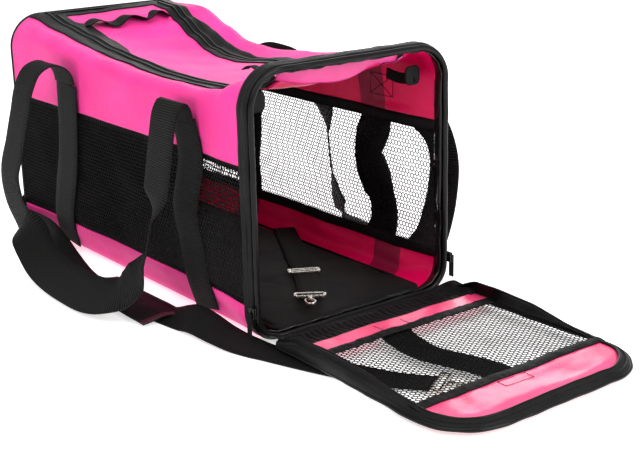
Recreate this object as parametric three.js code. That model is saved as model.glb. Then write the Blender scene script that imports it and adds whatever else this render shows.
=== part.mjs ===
// Soft pet carrier bag with its front door open, in millimetres, +Z up.
// Origin: centre of the base's underside. +X points to the front opening.
import {
  BoxGeometry, CatmullRomCurve3, CylinderGeometry, ExtrudeGeometry, Group, Matrix4, Mesh,
  MeshStandardMaterial, Path, Shape, Vector2, Vector3,
} from 'three';

// driving dimensions
const bagLength = 570;
const bagWidth = 285;
const bagHeight = 305;
const topRadius = 45; // upper edges of the bag and of the front opening
const bottomRadius = 34; // lower edges, where the sides tuck under
const wall = 2; // coated fabric
const netThick = 1.2;
const gap = 0.35; // between pieces that touch
const netBottom = 42; // side windows, from and to
const netTop = 200;
const topDip = 46; // how far the soft top sags between its stiff ends
const zipLine = 85; // distance of each top zip from the centre line
const zipTape = 13; // one half of a zip's tape
const rimDepth = 23; // stiffened front opening
const rimThick = 12;
const hoopDepth = 5; // the wire hoop's piping, at the very front
const webbing = 50; // handles and side straps
const webbingThick = 2.4;
const doorHeight = 298; // hinge edge to far end
const doorHalf = 137;
const doorCorner = 60;
const doorDepth = 24; // zipped wall round the door
const doorLift = 3.5; // the shoulder strap lies under the door
const hingeRoll = 5.25; // rolled hinge edge of the door
const hingeX = 304.25; // its axis
const shoulderStrap = 38;
const shoulderThick = 2;
const tether = 30;
const rearTape = 10; // zip tape sewn across the top's rear edge
const handleZ = 241; // where the handles leave the sides

// places worked out from them
const rearX = -bagLength / 2;
const frontX = bagLength / 2;
const side = bagWidth / 2;
const rimStart = frontX - rimDepth;
const shellStart = rearX + wall + gap;
const shellEnd = rimStart - gap;
const baseHalf = side - bottomRadius;
const shoulder = side - topRadius;
const flapHinge = rimStart - 12;
const flapHalf = zipLine - gap;
const flapPlay = 1.8; // half the gap at the flap's fabric hinge
const doorEnd = hingeX - hingeRoll + doorHeight;
const hingeZ = doorLift + hingeRoll;
const panelZ = doorLift + 7.5; // underside of the door's panels
const padTop = 11;
const tapeFoot = bagHeight - wall; // zip tapes lie level with the top's cloth
const tapeTop = tapeFoot + 1.4;
const flapTapeTop = tapeFoot + 1.6;
const coilTop = bagHeight + 1;
const handleY = side + 5.3; // handles are sewn over the side straps

const look = (color, roughness, metalness = 0) => new MeshStandardMaterial({ color, roughness, metalness });
const pinkNylon = look(0xf23a93, 0.55);
const pinkLining = look(0xff6f9f, 0.3);
const net = look(0x1c1c1d, 0.75);
const strapWeb = look(0x2b2c2a, 0.7);
const zipBlack = look(0x222324, 0.45);
const piping = look(0x161618, 0.25);
const padNylon = look(0x232322, 0.6);
const nickel = look(0xc9c6c0, 0.25, 1);

const bag = new Group();
const add = (name, geometry, material, parent = bag) => {
  const mesh = new Mesh(geometry, material);
  mesh.name = name;
  parent.add(mesh);
  return mesh;
};

// how far the soft top hangs below its stiff ends at x
const dipAt = (x) => {
  const along = Math.min(1, Math.max(0, (x - rearX) / (rimStart - rearX)));
  return topDip * Math.max(0, Math.sin(Math.PI * along ** 1.7)) ** 0.4; // deepest in front of the middle
};

// lowers what stands above the side windows by the sag
const sag = (geometry) => {
  const p = geometry.attributes.position;
  for (let i = 0; i < p.count; i++) {
    const share = Math.max(0, (p.getZ(i) - netTop) / (bagHeight - netTop));
    p.setZ(i, p.getZ(i) - dipAt(p.getX(i)) * Math.min(1, share));
  }
  return geometry;
};

// a Y-Z outline run along X
const toX = new Matrix4().makeBasis(new Vector3(0, 1, 0), new Vector3(0, 0, 1), new Vector3(1, 0, 0));
const alongX = (shape, from, to, steps = 1, curveSegments = 8) =>
  new ExtrudeGeometry(shape, { depth: to - from, steps, curveSegments, bevelEnabled: false })
    .applyMatrix4(toX)
    .translate(from, 0, 0);

// an X-Y outline run upwards
const upwards = (shape, from, to, curveSegments = 8) =>
  new ExtrudeGeometry(shape, { depth: to - from, curveSegments, bevelEnabled: false }).translate(0, 0, from);

const block = ([x0, x1], [y0, y1], [z0, z1], steps = 1) =>
  new BoxGeometry(x1 - x0, y1 - y0, z1 - z0, steps, 1, 1)
    .translate((x0 + x1) / 2, (y0 + y1) / 2, (z0 + z1) / 2);

// a range on the near (-1) or far (+1) side, given as distances from the centre line
const onSide = (sign, a, b) => (sign > 0 ? [a, b] : [-b, -a]);

// a rectangle with lower corners of radius r and upper corners of radius s
const roundedBox = (target, [x0, x1], [y0, y1], r, s = r) => {
  target.moveTo(x0 + r, y0);
  target.lineTo(x1 - r, y0);
  target.absarc(x1 - r, y0 + r, r, -Math.PI / 2, 0, false);
  target.lineTo(x1, y1 - s);
  target.absarc(x1 - s, y1 - s, s, 0, Math.PI / 2, false);
  target.lineTo(x0 + s, y1);
  target.absarc(x0 + s, y1 - s, s, Math.PI / 2, Math.PI, false);
  target.lineTo(x0, y0 + r);
  target.absarc(x0 + r, y0 + r, r, Math.PI, Math.PI * 1.5, false);
  return target;
};

// the bag's cross-section, drawn inset
const section = (target, inset) => roundedBox(
  target, [inset - side, side - inset], [inset, bagHeight - inset], bottomRadius - inset, topRadius - inset);

const arc = (x, y, r, from, to, n = 8) => Array.from({ length: n + 1 }, (_, i) => {
  const a = from + (to - from) * i / n;
  return new Vector2(x + r * Math.cos(a), y + r * Math.sin(a));
});

// a thin wall between two lines that start at the same end
const between = (outer, inner, sign = 1) =>
  new Shape([...outer, ...inner.toReversed()].map((p) => new Vector2(p.x * sign, p.y)));

// a flat strip of webbing bent along a curve; directions of its width are spaced evenly along it
const ribbon = (points, directions, width, thick, steps = 40) => {
  const curve = new CatmullRomCurve3(points.map((p) => new Vector3(...p)), false, 'centripetal');
  const frames = Array.from({ length: steps + 1 }, (_, i) => {
    const along = i / steps * (directions.length - 1);
    const k = Math.min(directions.length - 2, Math.floor(along));
    const tangent = curve.getTangentAt(i / steps);
    const wide = new Vector3(...directions[k]).lerp(new Vector3(...directions[k + 1]), along - k);
    wide.addScaledVector(tangent, -wide.dot(tangent)).normalize();
    return { at: curve.getPointAt(i / steps), wide, up: new Vector3().crossVectors(tangent, wide) };
  });
  const geometry = new BoxGeometry(1, width, thick, steps, 1, 1);
  const p = geometry.attributes.position;
  for (let i = 0; i < p.count; i++) {
    const { at, wide, up } = frames[Math.round((p.getX(i) + 0.5) * steps)];
    const point = at.clone().addScaledVector(wide, p.getY(i)).addScaledVector(up, p.getZ(i));
    p.setXYZ(i, ...point);
  }
  return geometry;
};

// ---- base: bottom cloth, stiffener, pad
add('base_panel', block([shellStart, shellEnd], [gap - baseHalf, baseHalf - gap], [0, wall]), zipBlack);
add('base_board',
  block([shellStart + 4, shellEnd - 6], [3 - baseHalf, baseHalf - 3], [wall + gap, 4.2]), padNylon);
const padShape = roundedBox(new Shape(), [shellStart + 5, shellEnd - 2], [-baseHalf, baseHalf], 12);
add('base_pad', upwards(padShape, 4.6, padTop), padNylon);

// ---- each side: lower band, net window, upper band with its shoulder, two sewn straps
const shellSteps = 22;
const zipAngle = Math.acos((zipLine + zipTape + gap - shoulder) / topRadius); // the shoulder ends at the zip
const sideStraps = {
  near_rear: { sign: -1, top: [-118, 236], mid: [-126, 190], low: [-135, 78], foot: -121, out: 5 },
  near_front: { sign: -1, top: [160, 230], mid: [162, 195], low: [156, 110], foot: 170, out: 7 },
  far_rear: { sign: 1, top: [-118, 236], mid: [-126, 190], low: [-135, 78], foot: -121, out: 5 },
  far_front: { sign: 1, top: [165, 230], mid: [160, 180], low: [148, 120], foot: 182, out: 8 },
};
for (const [name, sign] of [['near', -1], ['far', 1]]) {
  const tuck = (r) =>
    [...arc(baseHalf, bottomRadius, r, -Math.PI / 2, 0), new Vector2(baseHalf + r, netBottom)];
  const lower = between(tuck(bottomRadius), tuck(bottomRadius - wall), sign);
  add(`${name}_lower_band`, alongX(lower, shellStart, shellEnd), pinkNylon);

  const acrossNet = onSide(sign, side - netThick, side);
  add(`${name}_side_net`, block([shellStart, shellEnd], acrossNet, [netBottom + gap, netTop - gap]), net);

  const over = (r) =>
    [new Vector2(shoulder + r, netTop), ...arc(shoulder, bagHeight - topRadius, r, 0, zipAngle)];
  const upper = between(over(topRadius), over(topRadius - wall), sign);
  add(`${name}_upper_band`, sag(alongX(upper, shellStart, shellEnd, shellSteps)), pinkNylon);

  // static half of the top zip: flat tape with the coil's ridge along its inner edge
  const tape = between(
    [new Vector2(zipLine + gap, tapeFoot), new Vector2(zipLine + zipTape, tapeFoot),
      new Vector2(zipLine + zipTape, tapeTop)],
    [new Vector2(zipLine + gap, coilTop), new Vector2(zipLine + 3, coilTop),
      new Vector2(zipLine + 3, tapeTop)],
    sign);
  add(`${name}_zip_tape`, sag(alongX(tape, shellStart, shellEnd, shellSteps)), zipBlack);

  // end tab of the top zip, hanging inside the front corner
  const tab = roundedBox(new Shape(), onSide(sign, 100, 122), [252, 275], 7);
  add(`${name}_zip_tab`, alongX(tab, 252, 256), zipBlack);
}
for (const [name, { sign, top, mid, low, foot, out }] of Object.entries(sideStraps)) {
  const face = side + webbingThick / 2 + gap + 0.3;
  const points = [
    [foot, sign * (side - 3.5), 12], [foot, sign * (face + 0.8), 30],
    [(foot + low[0]) / 2, sign * (face + 2), 48],
    [low[0], sign * (face + out), low[1]], [mid[0], sign * (face + 2), mid[1]], [top[0], sign * face, top[1]],
  ];
  add(`${name}_strap`, ribbon(points, [[1, 0, 0], [1, 0, 0]], webbing, webbingThick, 16), strapWeb);
}

// ---- rear end: framed net window
const rearWindow = (target, inset) =>
  roundedBox(target, [inset - 95, 95 - inset], [60 + inset, 205 - inset], 25 - inset);
const rearShape = section(new Shape(), 0);
rearShape.holes.push(rearWindow(new Path(), 0));
add('rear_panel', alongX(rearShape, rearX, rearX + wall), pinkNylon);
add('rear_net', alongX(rearWindow(new Shape(), gap), rearX + 0.4, rearX + 0.4 + netThick), net);

// ---- front opening: zip tape ring, then the wire hoop in its piping
const ring = (outer, inner) => {
  const shape = section(new Shape(), outer);
  shape.holes.push(section(new Path(), inner));
  return shape;
};
add('front_zip_tape', alongX(ring(0.6, 4.5), rimStart, frontX - hoopDepth - gap), zipBlack);
add('front_hoop', alongX(ring(0, rimThick), frontX - hoopDepth, frontX), piping);
const pleatEnd = hingeX - hingeRoll - gap;
add('hinge_pleats', block([frontX + gap, pleatEnd], [-baseHalf, baseHalf], [0.3, 7]), zipBlack);

// ---- top: strips in front of and behind the flap
const topZ = [tapeFoot, bagHeight];
add('top_front_strip',
  sag(block([flapHinge + flapPlay, shellEnd], [-flapHalf, flapHalf], topZ, 2)), pinkNylon);
add('rear_zip_tape',
  sag(block([shellStart, shellStart + rearTape], [-flapHalf, flapHalf], [tapeFoot, tapeTop])), zipBlack);

// ---- top flap, hinged along its front edge
const flapRear = shellStart + rearTape + gap;
const flapFront = flapHinge - flapPlay;
const panelRear = flapRear + zipTape;
const panelHalf = zipLine - zipTape;
const flapRun = [panelRear + gap, flapFront];
add('flap_panel', sag(block(flapRun, [gap - panelHalf, panelHalf - gap], topZ, 20)), pinkNylon);
for (const [name, sign] of [['near', -1], ['far', 1]]) {
  const across = onSide(sign, panelHalf, flapHalf);
  add(`flap_${name}_tape`, sag(block(flapRun, across, [tapeFoot, flapTapeTop], 20)), zipBlack);
}
add('flap_rear_tape',
  sag(block([flapRear, panelRear], [-flapHalf, flapHalf], [tapeFoot, flapTapeTop])), zipBlack);
const gripX = -212;
const gripRoute = [-66, -44, -20, 6, 30, 52, 66].map((y, i) => {
  const x = gripX + (i % 2 ? -5 : 5);
  return [x, y, bagHeight - dipAt(gripX - 16) + (i === 0 || i === 6 ? 1.6 : 4 + (i % 2 ? 3 : 0))];
});
add('flap_grip_ribbon', ribbon(gripRoute, [[1, 0, 0], [1, 0, 0]], 18, 1.2, 24), strapWeb);

// ---- door, open and flat: zipped wall on three sides, then bands, bindings and net from hinge to end
const wallLine = (start, inset) => [
  new Vector2(start, inset - doorHalf),
  ...arc(doorEnd - doorCorner, doorCorner - doorHalf, doorCorner - inset, -Math.PI / 2, 0, 10),
  ...arc(doorEnd - doorCorner, doorHalf - doorCorner, doorCorner - inset, 0, Math.PI / 2, 10),
  new Vector2(start, doorHalf - inset),
];
const wallStart = hingeX + hingeRoll + 1;
const gusset = between(wallLine(wallStart, 0), wallLine(wallStart, 3));
add('door_gusset', upwards(gusset, doorLift, doorLift + doorDepth), zipBlack);
const doorPanels = [ // name, from, to, thickness, material
  ['door_hinge_flap', 310, 341, 1.5, zipBlack],
  ['door_inner_band', 341, 363, 1.5, pinkLining],
  ['door_inner_binding', 363, 377, 2.6, zipBlack],
  ['door_net', 377, 522, netThick, net],
  ['door_outer_binding', 522, 536, 2.6, zipBlack],
];
const panelEdge = doorHalf - 3 - gap;
for (const [name, from, to, thick, material] of doorPanels) {
  add(name, block([from + gap, to], [-panelEdge, panelEdge], [panelZ, panelZ + thick]), material);
}
const outerBand = new Shape(wallLine(536 + gap, doorHalf - panelEdge));
add('door_outer_band', upwards(outerBand, panelZ, panelZ + 1.5), pinkLining);
add('door_hinge_roll', new CylinderGeometry(hingeRoll, hingeRoll, 2 * panelEdge, 24), zipBlack)
  .position.set(hingeX, 0, hingeZ);
const grabRoute = [[352, -8], [385, -22], [430, -27], [465, -18], [495, -8], [526, -5]]
  .map(([x, y]) => [x, y, panelZ - 1.7]);
add('door_grab_strap', ribbon(grabRoute, [[0, 1, 0], [0, 1, 0]], 38, 1.8, 20), strapWeb);

// ---- handles: webbing loops that hang outwards and lie on the ground
const nearLoop = [
  [-118, -handleY, handleZ], [-120, -163, 180], [-119, -178, 115], [-117, -190, 60], [-108, -206, 21],
  [-82, -216, 10], [-40, -222, 6.2], [20, -226, 6], [80, -226, 6], [118, -221, 8.4], [138, -211, 22.4],
  [146, -198, 65], [152, -180, 120], [157, -163, 180], [160, -handleY, handleZ],
];
const farLoop = [
  [-118, handleY, handleZ], [-116, 151, 221], [-100, 155, 200], [-60, 162, 184], [-14, 168, 170], [10, 171, 138],
  [18, 172, 100], [34, 172, 50], [62, 180, 14], [90, 190, 4], [140, 194, 3], [180, 186, 7], [206, 178, 26],
  [236, 172, 66], [254, 168, 112], [254, 166, 150], [230, 163, 177], [200, 160, 186], [174, 156, 196],
  [166, 152, 216], [165, handleY, handleZ],
];
const leg = [1, 0, 0];
const legBack = [-1, 0, 0];
const flat = [0, -1, 0];
const loopAcross = (touch, leave, lying) => // shares of its length between which a loop lies on the ground
  Array.from({ length: 21 }, (_, i) => (i / 20 < touch ? leg : i / 20 > leave ? legBack : lying));
add('near_handle', ribbon(nearLoop, loopAcross(0.33, 0.67, flat), webbing, webbingThick, 56), strapWeb);
add('far_handle', ribbon(farLoop, loopAcross(0.38, 0.62, [0, 1, 0]), webbing, webbingThick, 56), strapWeb);
add('handle_wrap', block([-8, 112], [-216, -153], [3, 3.8]), padNylon);

// ---- zip sliders with their pulls
for (const [name, sign] of [['near', -1], ['far', 1]]) {
  const rideZ = 309 - dipAt(240); // just above the coil, clear of its whole travel
  const onZip = onSide(sign, zipLine + 0.6, zipLine + 10);
  add(`${name}_top_slider`, block([228, 240], onZip, [rideZ, rideZ + 3.5]), nickel);
  const pull = roundedBox(new Shape(), [204, 236], onSide(sign, zipLine + 1.5, zipLine + 9), 3);
  add(`${name}_top_pull`, upwards(pull, rideZ + 4, rideZ + 5.6), strapWeb);

  add(`${name}_door_slider`, block([276, 288], onSide(sign, side + 0.5, side + 6), [34, 46]), nickel);
  add(`${name}_door_pull`, block([278, 286], onSide(sign, side + 6.4, side + 8.2), [13, 43]), strapWeb);
}

// ---- snap hooks: eye on the strap's end, swivelling hook, sprung gate; local x is the swivel's axis
const snapHook = (name, size, strap, at, angle) => {
  const place = new Group();
  place.position.set(...at);
  place.rotation.z = angle;
  const flatPiece = (shape, thick) => upwards(shape, -thick * size / 2, thick * size / 2);
  const half = strap / 2 + 4;
  const eye = roundedBox(new Shape(), [0.4, 13.5], [-half, half], 4);
  eye.holes.push(roundedBox(new Path(), [3.6, 10.3], [3.2 - half, half - 3.2], 2));
  add(`${name}_eye`, flatPiece(eye, 3), nickel, place);

  const hookLine = [
    new Vector2(0, -3.2), new Vector2(0, 3.2), new Vector2(8, 3.2),
    ...arc(20, 0, 8.5, Math.PI * 0.78, -Math.PI * 0.667, 18),
    ...arc(20, 0, 5, -Math.PI * 0.667, Math.PI * 0.833, 18), new Vector2(12, -3.2),
  ];
  const hook = new Shape(hookLine.map((p) => new Vector2(13.9 + p.x * size, p.y * size)));
  add(`${name}_hook`, flatPiece(hook, 4.4), nickel, place);

  const gate = roundedBox(new Shape(), [0, 6.2 * size], [-0.9 * size, 0.9 * size], 0.6);
  const lever = add(`${name}_gate`, flatPiece(gate, 3), nickel, place);
  lever.position.set(13.9 + 9 * size, -5.1 * size, 0);
  lever.rotation.z = -0.54;
  bag.add(place);
};

// ---- tether: from the seam of the floor, across the pad, with a slide adjuster
const tetherZ = padTop + 1.9;
const tetherRoute = [
  [-16, 114, tetherZ], [20, 95, tetherZ], [90, 57, tetherZ], [164, 16, tetherZ], [198, -5, padTop + 4],
  [226, -25, padTop + 7.6],
];
const tetherAcross = [0.47, 0.88, 0];
add('tether_strap', ribbon(tetherRoute, [tetherAcross, tetherAcross, tetherAcross, [0.58, 0.81, 0]],
  tether, webbingThick, 20), strapWeb);
snapHook('tether', 0.85, tether, [226.2, -25.2, padTop + 8], -0.62);
const slide = roundedBox(new Shape(), [-7, 7], [-20, 20], 3);
slide.holes.push(
  roundedBox(new Path(), [-4.8, -1.2], [-16, 16], 1), roundedBox(new Path(), [1.2, 4.8], [-16, 16], 1));
const adjuster = add('tether_slide', upwards(slide, 0, 2), nickel);
adjuster.position.set(150, 24, tetherZ + 1.6);
adjuster.rotation.z = -0.5;

// ---- shoulder strap: from the ring on the rear end, round the near side, under the open door
add('rear_ring_tab', block([rearX - 3.5, rearX - gap], [-59, -21], [236, 266]), strapWeb);
const ringShape = roundedBox(new Shape(), [-63, -17], [221, 247], 10, 5);
ringShape.holes.push(roundedBox(new Path(), [-59, -21], [225, 243], 6, 2));
add('rear_ring', alongX(ringShape, rearX - 8.1, rearX - 4.7), nickel);
const strapRoute = [
  [-290.6, -40, 219], [-290.6, -40.5, 200], [-290.8, -47, 172], [-291, -75, 122], [-291, -104, 72],
  [-290, -128, 40], [-282, -147, 26], [-262, -152, 22], [-225, -153.5, 21.5], [-190, -157, 21],
  [-165, -162, 18], [-140, -165, 11.5], [-112, -169, 5.4], [-84, -174, 2.6], [-20, -184, 1.6],
  [50, -187, 1.6], [100, -178, 1.6], [136, -171, 3.4], [165, -169, 9], [205, -168, 15], [245, -163, 9.5],
  [270, -157, 5.4], [284, -152, 3.5], [299, -147, 2.1], [325, -138, 1.5], [365, -124, 1.6],
  [405, -108, 1.6], [447, -89, 1.8], [485, -66, 3.8],
];
const strapAcross = [
  [0, 1, 0], [0, 1, -0.3], [0, 1, -0.7], [0, 0.3, -1], [0, 0, -1], [0, -0.5, -1], [0, -1, -0.3], flat,
  flat, flat, flat, [0, -0.75, -0.6], [0, -0.97, -0.2], flat, flat, flat, flat,
];
add('shoulder_strap', ribbon(strapRoute, strapAcross, shoulderStrap, shoulderThick, 80), strapWeb);
snapHook('strap', 1.1, shoulderStrap, [485.3, -65.8, 5.5], 0.545);

export default bag;
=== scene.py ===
import math

import bmesh
import bpy
from mathutils import Matrix, Vector, noise


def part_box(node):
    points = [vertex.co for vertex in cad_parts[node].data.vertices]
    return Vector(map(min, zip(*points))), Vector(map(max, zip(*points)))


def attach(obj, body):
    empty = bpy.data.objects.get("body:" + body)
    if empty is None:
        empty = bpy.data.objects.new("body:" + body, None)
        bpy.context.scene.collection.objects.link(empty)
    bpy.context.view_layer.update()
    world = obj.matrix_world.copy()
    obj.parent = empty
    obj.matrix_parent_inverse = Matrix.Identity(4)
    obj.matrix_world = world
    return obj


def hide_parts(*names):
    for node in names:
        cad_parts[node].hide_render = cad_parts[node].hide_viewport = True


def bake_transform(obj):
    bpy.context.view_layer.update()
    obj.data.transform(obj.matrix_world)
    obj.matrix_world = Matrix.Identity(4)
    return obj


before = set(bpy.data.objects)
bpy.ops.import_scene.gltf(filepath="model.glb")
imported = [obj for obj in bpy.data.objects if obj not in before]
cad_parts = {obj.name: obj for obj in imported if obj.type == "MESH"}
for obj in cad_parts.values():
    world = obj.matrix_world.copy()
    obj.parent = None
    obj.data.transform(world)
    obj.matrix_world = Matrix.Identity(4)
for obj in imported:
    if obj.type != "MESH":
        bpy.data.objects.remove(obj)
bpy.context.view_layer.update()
scene = bpy.context.scene
mm = 0.001  # routes and sizes below are in millimetres, the scene is in metres

bag = {
    "rearX": -285, "rimX": 262, "side": 142.5, "height": 305, "topRadius": 45, "bottomRadius": 34,
    "netBottom": 42, "netTop": 200, "zipLine": 85, "tape": 13, "cloth": 1.3,
}
baseHalf = bag["side"] - bag["bottomRadius"]


# small tools

def ease(t):
    t = min(1, max(0, t))
    return t * t * (3 - 2 * t)


def lineAt(points, x):  # height of a smooth line through (x, height) points
    if x <= points[0][0]:
        return points[0][1]
    for (x0, z0), (x1, z1) in zip(points, points[1:]):
        if x <= x1:
            return z0 + (z1 - z0) * (0.35 * (x - x0) / (x1 - x0) + 0.65 * ease((x - x0) / (x1 - x0)))
    return points[-1][1]


def ripple(x, y, z, size, seed=0):  # soft folds, -1 to 1, over size millimetres
    return noise.noise(Vector((x / size + seed * 7.3, y / size, z / size)))


def evenRoute(points, count):  # count + 1 evenly spaced points on a smooth curve through points
    knots = [Vector(p) for p in points]
    knots = [knots[0] * 2 - knots[1]] + knots + [knots[-1] * 2 - knots[-2]]
    dense = []
    for a, b, c, d in zip(knots, knots[1:], knots[2:], knots[3:]):
        t1 = (b - a).length ** 0.5
        t2 = t1 + (c - b).length ** 0.5
        t3 = t2 + (d - c).length ** 0.5
        for step in range(14):
            t = t1 + (t2 - t1) * step / 14
            ab = a.lerp(b, t / t1)
            bc = b.lerp(c, (t - t1) / (t2 - t1))
            cd = c.lerp(d, (t - t2) / (t3 - t2))
            dense.append(ab.lerp(bc, t / t2).lerp(bc.lerp(cd, (t - t1) / (t3 - t1)),
                                                  (t - t1) / (t2 - t1)))
    dense.append(knots[-2])
    lengths = [0]
    for a, b in zip(dense, dense[1:]):
        lengths.append(lengths[-1] + (b - a).length)
    even, k = [], 0
    for step in range(count + 1):
        want = lengths[-1] * step / count
        while k < len(lengths) - 2 and lengths[k + 1] < want:
            k += 1
        share = (want - lengths[k]) / max(1e-9, lengths[k + 1] - lengths[k])
        even.append(dense[k].lerp(dense[k + 1], share))
    return even, lengths[-1]


def frames(route, directions):  # place, width direction and upward direction along a route
    found = []
    last = len(route) - 1
    for i, at in enumerate(route):
        ahead = (route[min(last, i + 1)] - route[max(0, i - 1)]).normalized()
        along = i / last * (len(directions) - 1)
        k = min(len(directions) - 2, int(along))
        wide = Vector(directions[k]).lerp(Vector(directions[k + 1]), along - k)
        wide = (wide - ahead * wide.dot(ahead)).normalized()
        found.append((at, wide, ahead.cross(wide)))
    return found


def makePiece(bm, name, materials, body, replaced=(), smoothed=True):
    mesh = bpy.data.meshes.new(name)
    bm.to_mesh(mesh)
    bm.free()
    piece = bpy.data.objects.new(name, mesh)
    scene.collection.objects.link(piece)
    for material in materials:
        mesh.materials.append(material)
    mesh.polygons.foreach_set("use_smooth", [smoothed] * len(mesh.polygons))
    if body:
        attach(piece, body)
    if replaced:
        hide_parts(*replaced)
    return piece


def relook(names, material):
    for name in names:
        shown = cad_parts[name]
        shown.data.materials.clear()
        shown.data.materials.append(material)


def thicken(piece, thick, offset=-1, inside=0):
    solid = piece.modifiers.new("Thickness", "SOLIDIFY")
    solid.thickness = thick * mm
    solid.offset = offset
    solid.material_offset = inside
    solid.material_offset_rim = 0
    return piece


def laidGrid(segments, size, place, flip=False, loop=False):
    # a flat grid laid onto place(u, v), which is in millimetres
    bm = bmesh.new()
    uv = bm.loops.layers.uv.new("UVMap")
    bmesh.ops.create_grid(bm, x_segments=segments[0], y_segments=segments[1], size=0.5)
    for face in bm.faces:
        for corner in face.loops:
            u, v = corner.vert.co.x + 0.5, corner.vert.co.y + 0.5
            corner[uv].uv = (u * size[0] * mm, v * size[1] * mm)
    for vert in bm.verts:
        vert.co = Vector(place(vert.co.x + 0.5, vert.co.y + 0.5)) * mm
    if loop:
        bmesh.ops.remove_doubles(bm, verts=bm.verts, dist=0.00002)
    if flip:
        bmesh.ops.reverse_faces(bm, faces=bm.faces)
    return bm


def strip(name, points, directions, width, thick, steps, material, body, replaced=()):
    # webbing bent along a route
    route, length = evenRoute(points, steps)
    places = frames(route, directions)

    def place(u, v):
        at, wide, _ = places[round(u * steps)]
        return at + wide * ((v - 0.5) * width)

    bm = laidGrid((steps, 4), (length, width), place)
    piece = thicken(makePiece(bm, name, [material], body, replaced), thick, 0)
    return piece, route, length


def pathTube(name, points, radius, material, body, replaced=(), closed=False, sides=3):
    curve = bpy.data.curves.new(name, "CURVE")
    curve.dimensions = "3D"
    curve.bevel_depth = radius * mm
    curve.bevel_resolution = sides
    curve.use_fill_caps = not closed
    line = curve.splines.new("POLY")
    line.points.add(len(points) - 1)
    for spot, p in zip(line.points, points):
        spot.co = (p[0] * mm, p[1] * mm, p[2] * mm, 1)
    line.use_cyclic_u = closed
    holder = bpy.data.objects.new(name + "_line", curve)
    mesh = bpy.data.meshes.new_from_object(holder)
    bpy.data.objects.remove(holder)
    bm = bmesh.new()
    bm.from_mesh(mesh)
    bpy.data.meshes.remove(mesh)
    bmesh.ops.recalc_face_normals(bm, faces=bm.faces)
    return makePiece(bm, name, [material], body, replaced)


def rowOf(name, places, unit, material, body, smoothed=False, replaced=()):
    # copies of a small bmesh unit (made along x, standing on z) at each (place, along, up)
    bm = bmesh.new()
    unit(bm)
    first = bm.verts[:] + bm.edges[:] + bm.faces[:]
    for at, ahead, up in places:
        made = bmesh.ops.duplicate(bm, geom=first)["geom"]
        verts = [g for g in made if isinstance(g, bmesh.types.BMVert)]
        turn = Matrix((ahead, up.cross(ahead), up)).transposed().to_4x4()
        bmesh.ops.transform(bm, matrix=Matrix.Translation(at * mm) @ turn, verts=verts)
    bmesh.ops.delete(bm, geom=[g for g in first if isinstance(g, bmesh.types.BMVert)], context="VERTS")
    return makePiece(bm, name, [material], body, replaced, smoothed)


def box(bm, size, at=(0, 0, 0), bevel=0.0, segments=2):
    made = bmesh.ops.create_cube(bm, size=1)["verts"]
    bmesh.ops.scale(bm, vec=Vector(size) * mm, verts=made)
    bmesh.ops.translate(bm, vec=Vector(at) * mm, verts=made)
    if bevel:
        edges = list({e for v in made for e in v.link_edges})
        bmesh.ops.bevel(bm, geom=edges, offset=bevel * mm, offset_type="OFFSET", segments=segments,
                        profile=0.5,
                        affect="EDGES", material=-1)


def toothUnit(bm):  # one zip tooth, across its tape
    box(bm, (1.3, 3.2, 1.2), (0, 0, 0.5), 0.3, 1)


def threadUnit(bm):  # one stitch
    made = bmesh.ops.create_cone(bm, cap_ends=True, segments=6, radius1=0.3 * mm, radius2=0.3 * mm,
                                 depth=2.6 * mm)["verts"]
    bmesh.ops.rotate(bm, verts=made, cent=(0, 0, 0), matrix=Matrix.Rotation(math.pi / 2, 3, "Y"))


def alongRoute(points, pitch, up):  # evenly pitched places on a polyline, for rowOf
    found = []
    for a, b in zip(points, points[1:]):
        a, b = Vector(a), Vector(b)
        count = max(1, round((b - a).length / pitch))
        ahead = (b - a).normalized()
        rise = (Vector(up) - ahead * ahead.dot(Vector(up))).normalized()
        found += [(a.lerp(b, (k + 0.5) / count), ahead, rise) for k in range(count)]
    return found


# materials

def newMaterial(name, color, roughness, metallic=0.0, sheen=0.0, coat=0.0, coatRoughness=0.15):
    material = bpy.data.materials.new(name)
    material.use_nodes = True
    tree = material.node_tree
    shader = tree.nodes["Principled BSDF"]
    shader.inputs["Base Color"].default_value = (*color, 1)
    shader.inputs["Roughness"].default_value = roughness
    shader.inputs["Metallic"].default_value = metallic
    shader.inputs["Sheen Weight"].default_value = sheen
    shader.inputs["Sheen Roughness"].default_value = 0.4
    shader.inputs["Coat Weight"].default_value = coat
    shader.inputs["Coat Roughness"].default_value = coatRoughness
    shader.inputs["Specular IOR Level"].default_value = 0.08 if max(color) < 0.1 else 0.3
    return material, tree, shader


def node(tree, kind, **values):
    made = tree.nodes.new(kind)
    for key, value in values.items():
        if key in made.inputs:
            made.inputs[key].default_value = value
        else:
            setattr(made, key, value)
    return made


def bumpFrom(tree, shader, heights):  # heights: (output, depth in millimetres), finest last
    normal = None
    for height, depth in heights:
        bump = node(tree, "ShaderNodeBump", Strength=1.0, Distance=depth * mm)
        tree.links.new(height, bump.inputs["Height"])
        if normal:
            tree.links.new(normal, bump.inputs["Normal"])
        normal = bump.outputs["Normal"]
    tree.links.new(normal, shader.inputs["Normal"])


def vary(tree, shader, coords, dark, light, scale, socket="Base Color"):
    spread = node(tree, "ShaderNodeTexNoise", Scale=scale, Detail=3.0, Roughness=0.6)
    tree.links.new(coords, spread.inputs["Vector"])
    ramp = tree.nodes.new("ShaderNodeValToRGB")
    ramp.color_ramp.elements[0].position = 0.35
    ramp.color_ramp.elements[1].position = 0.65
    ramp.color_ramp.elements[0].color = (*dark, 1)
    ramp.color_ramp.elements[1].color = (*light, 1)
    tree.links.new(spread.outputs["Fac"], ramp.inputs["Fac"])
    tree.links.new(ramp.outputs["Color"], shader.inputs[socket])


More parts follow.
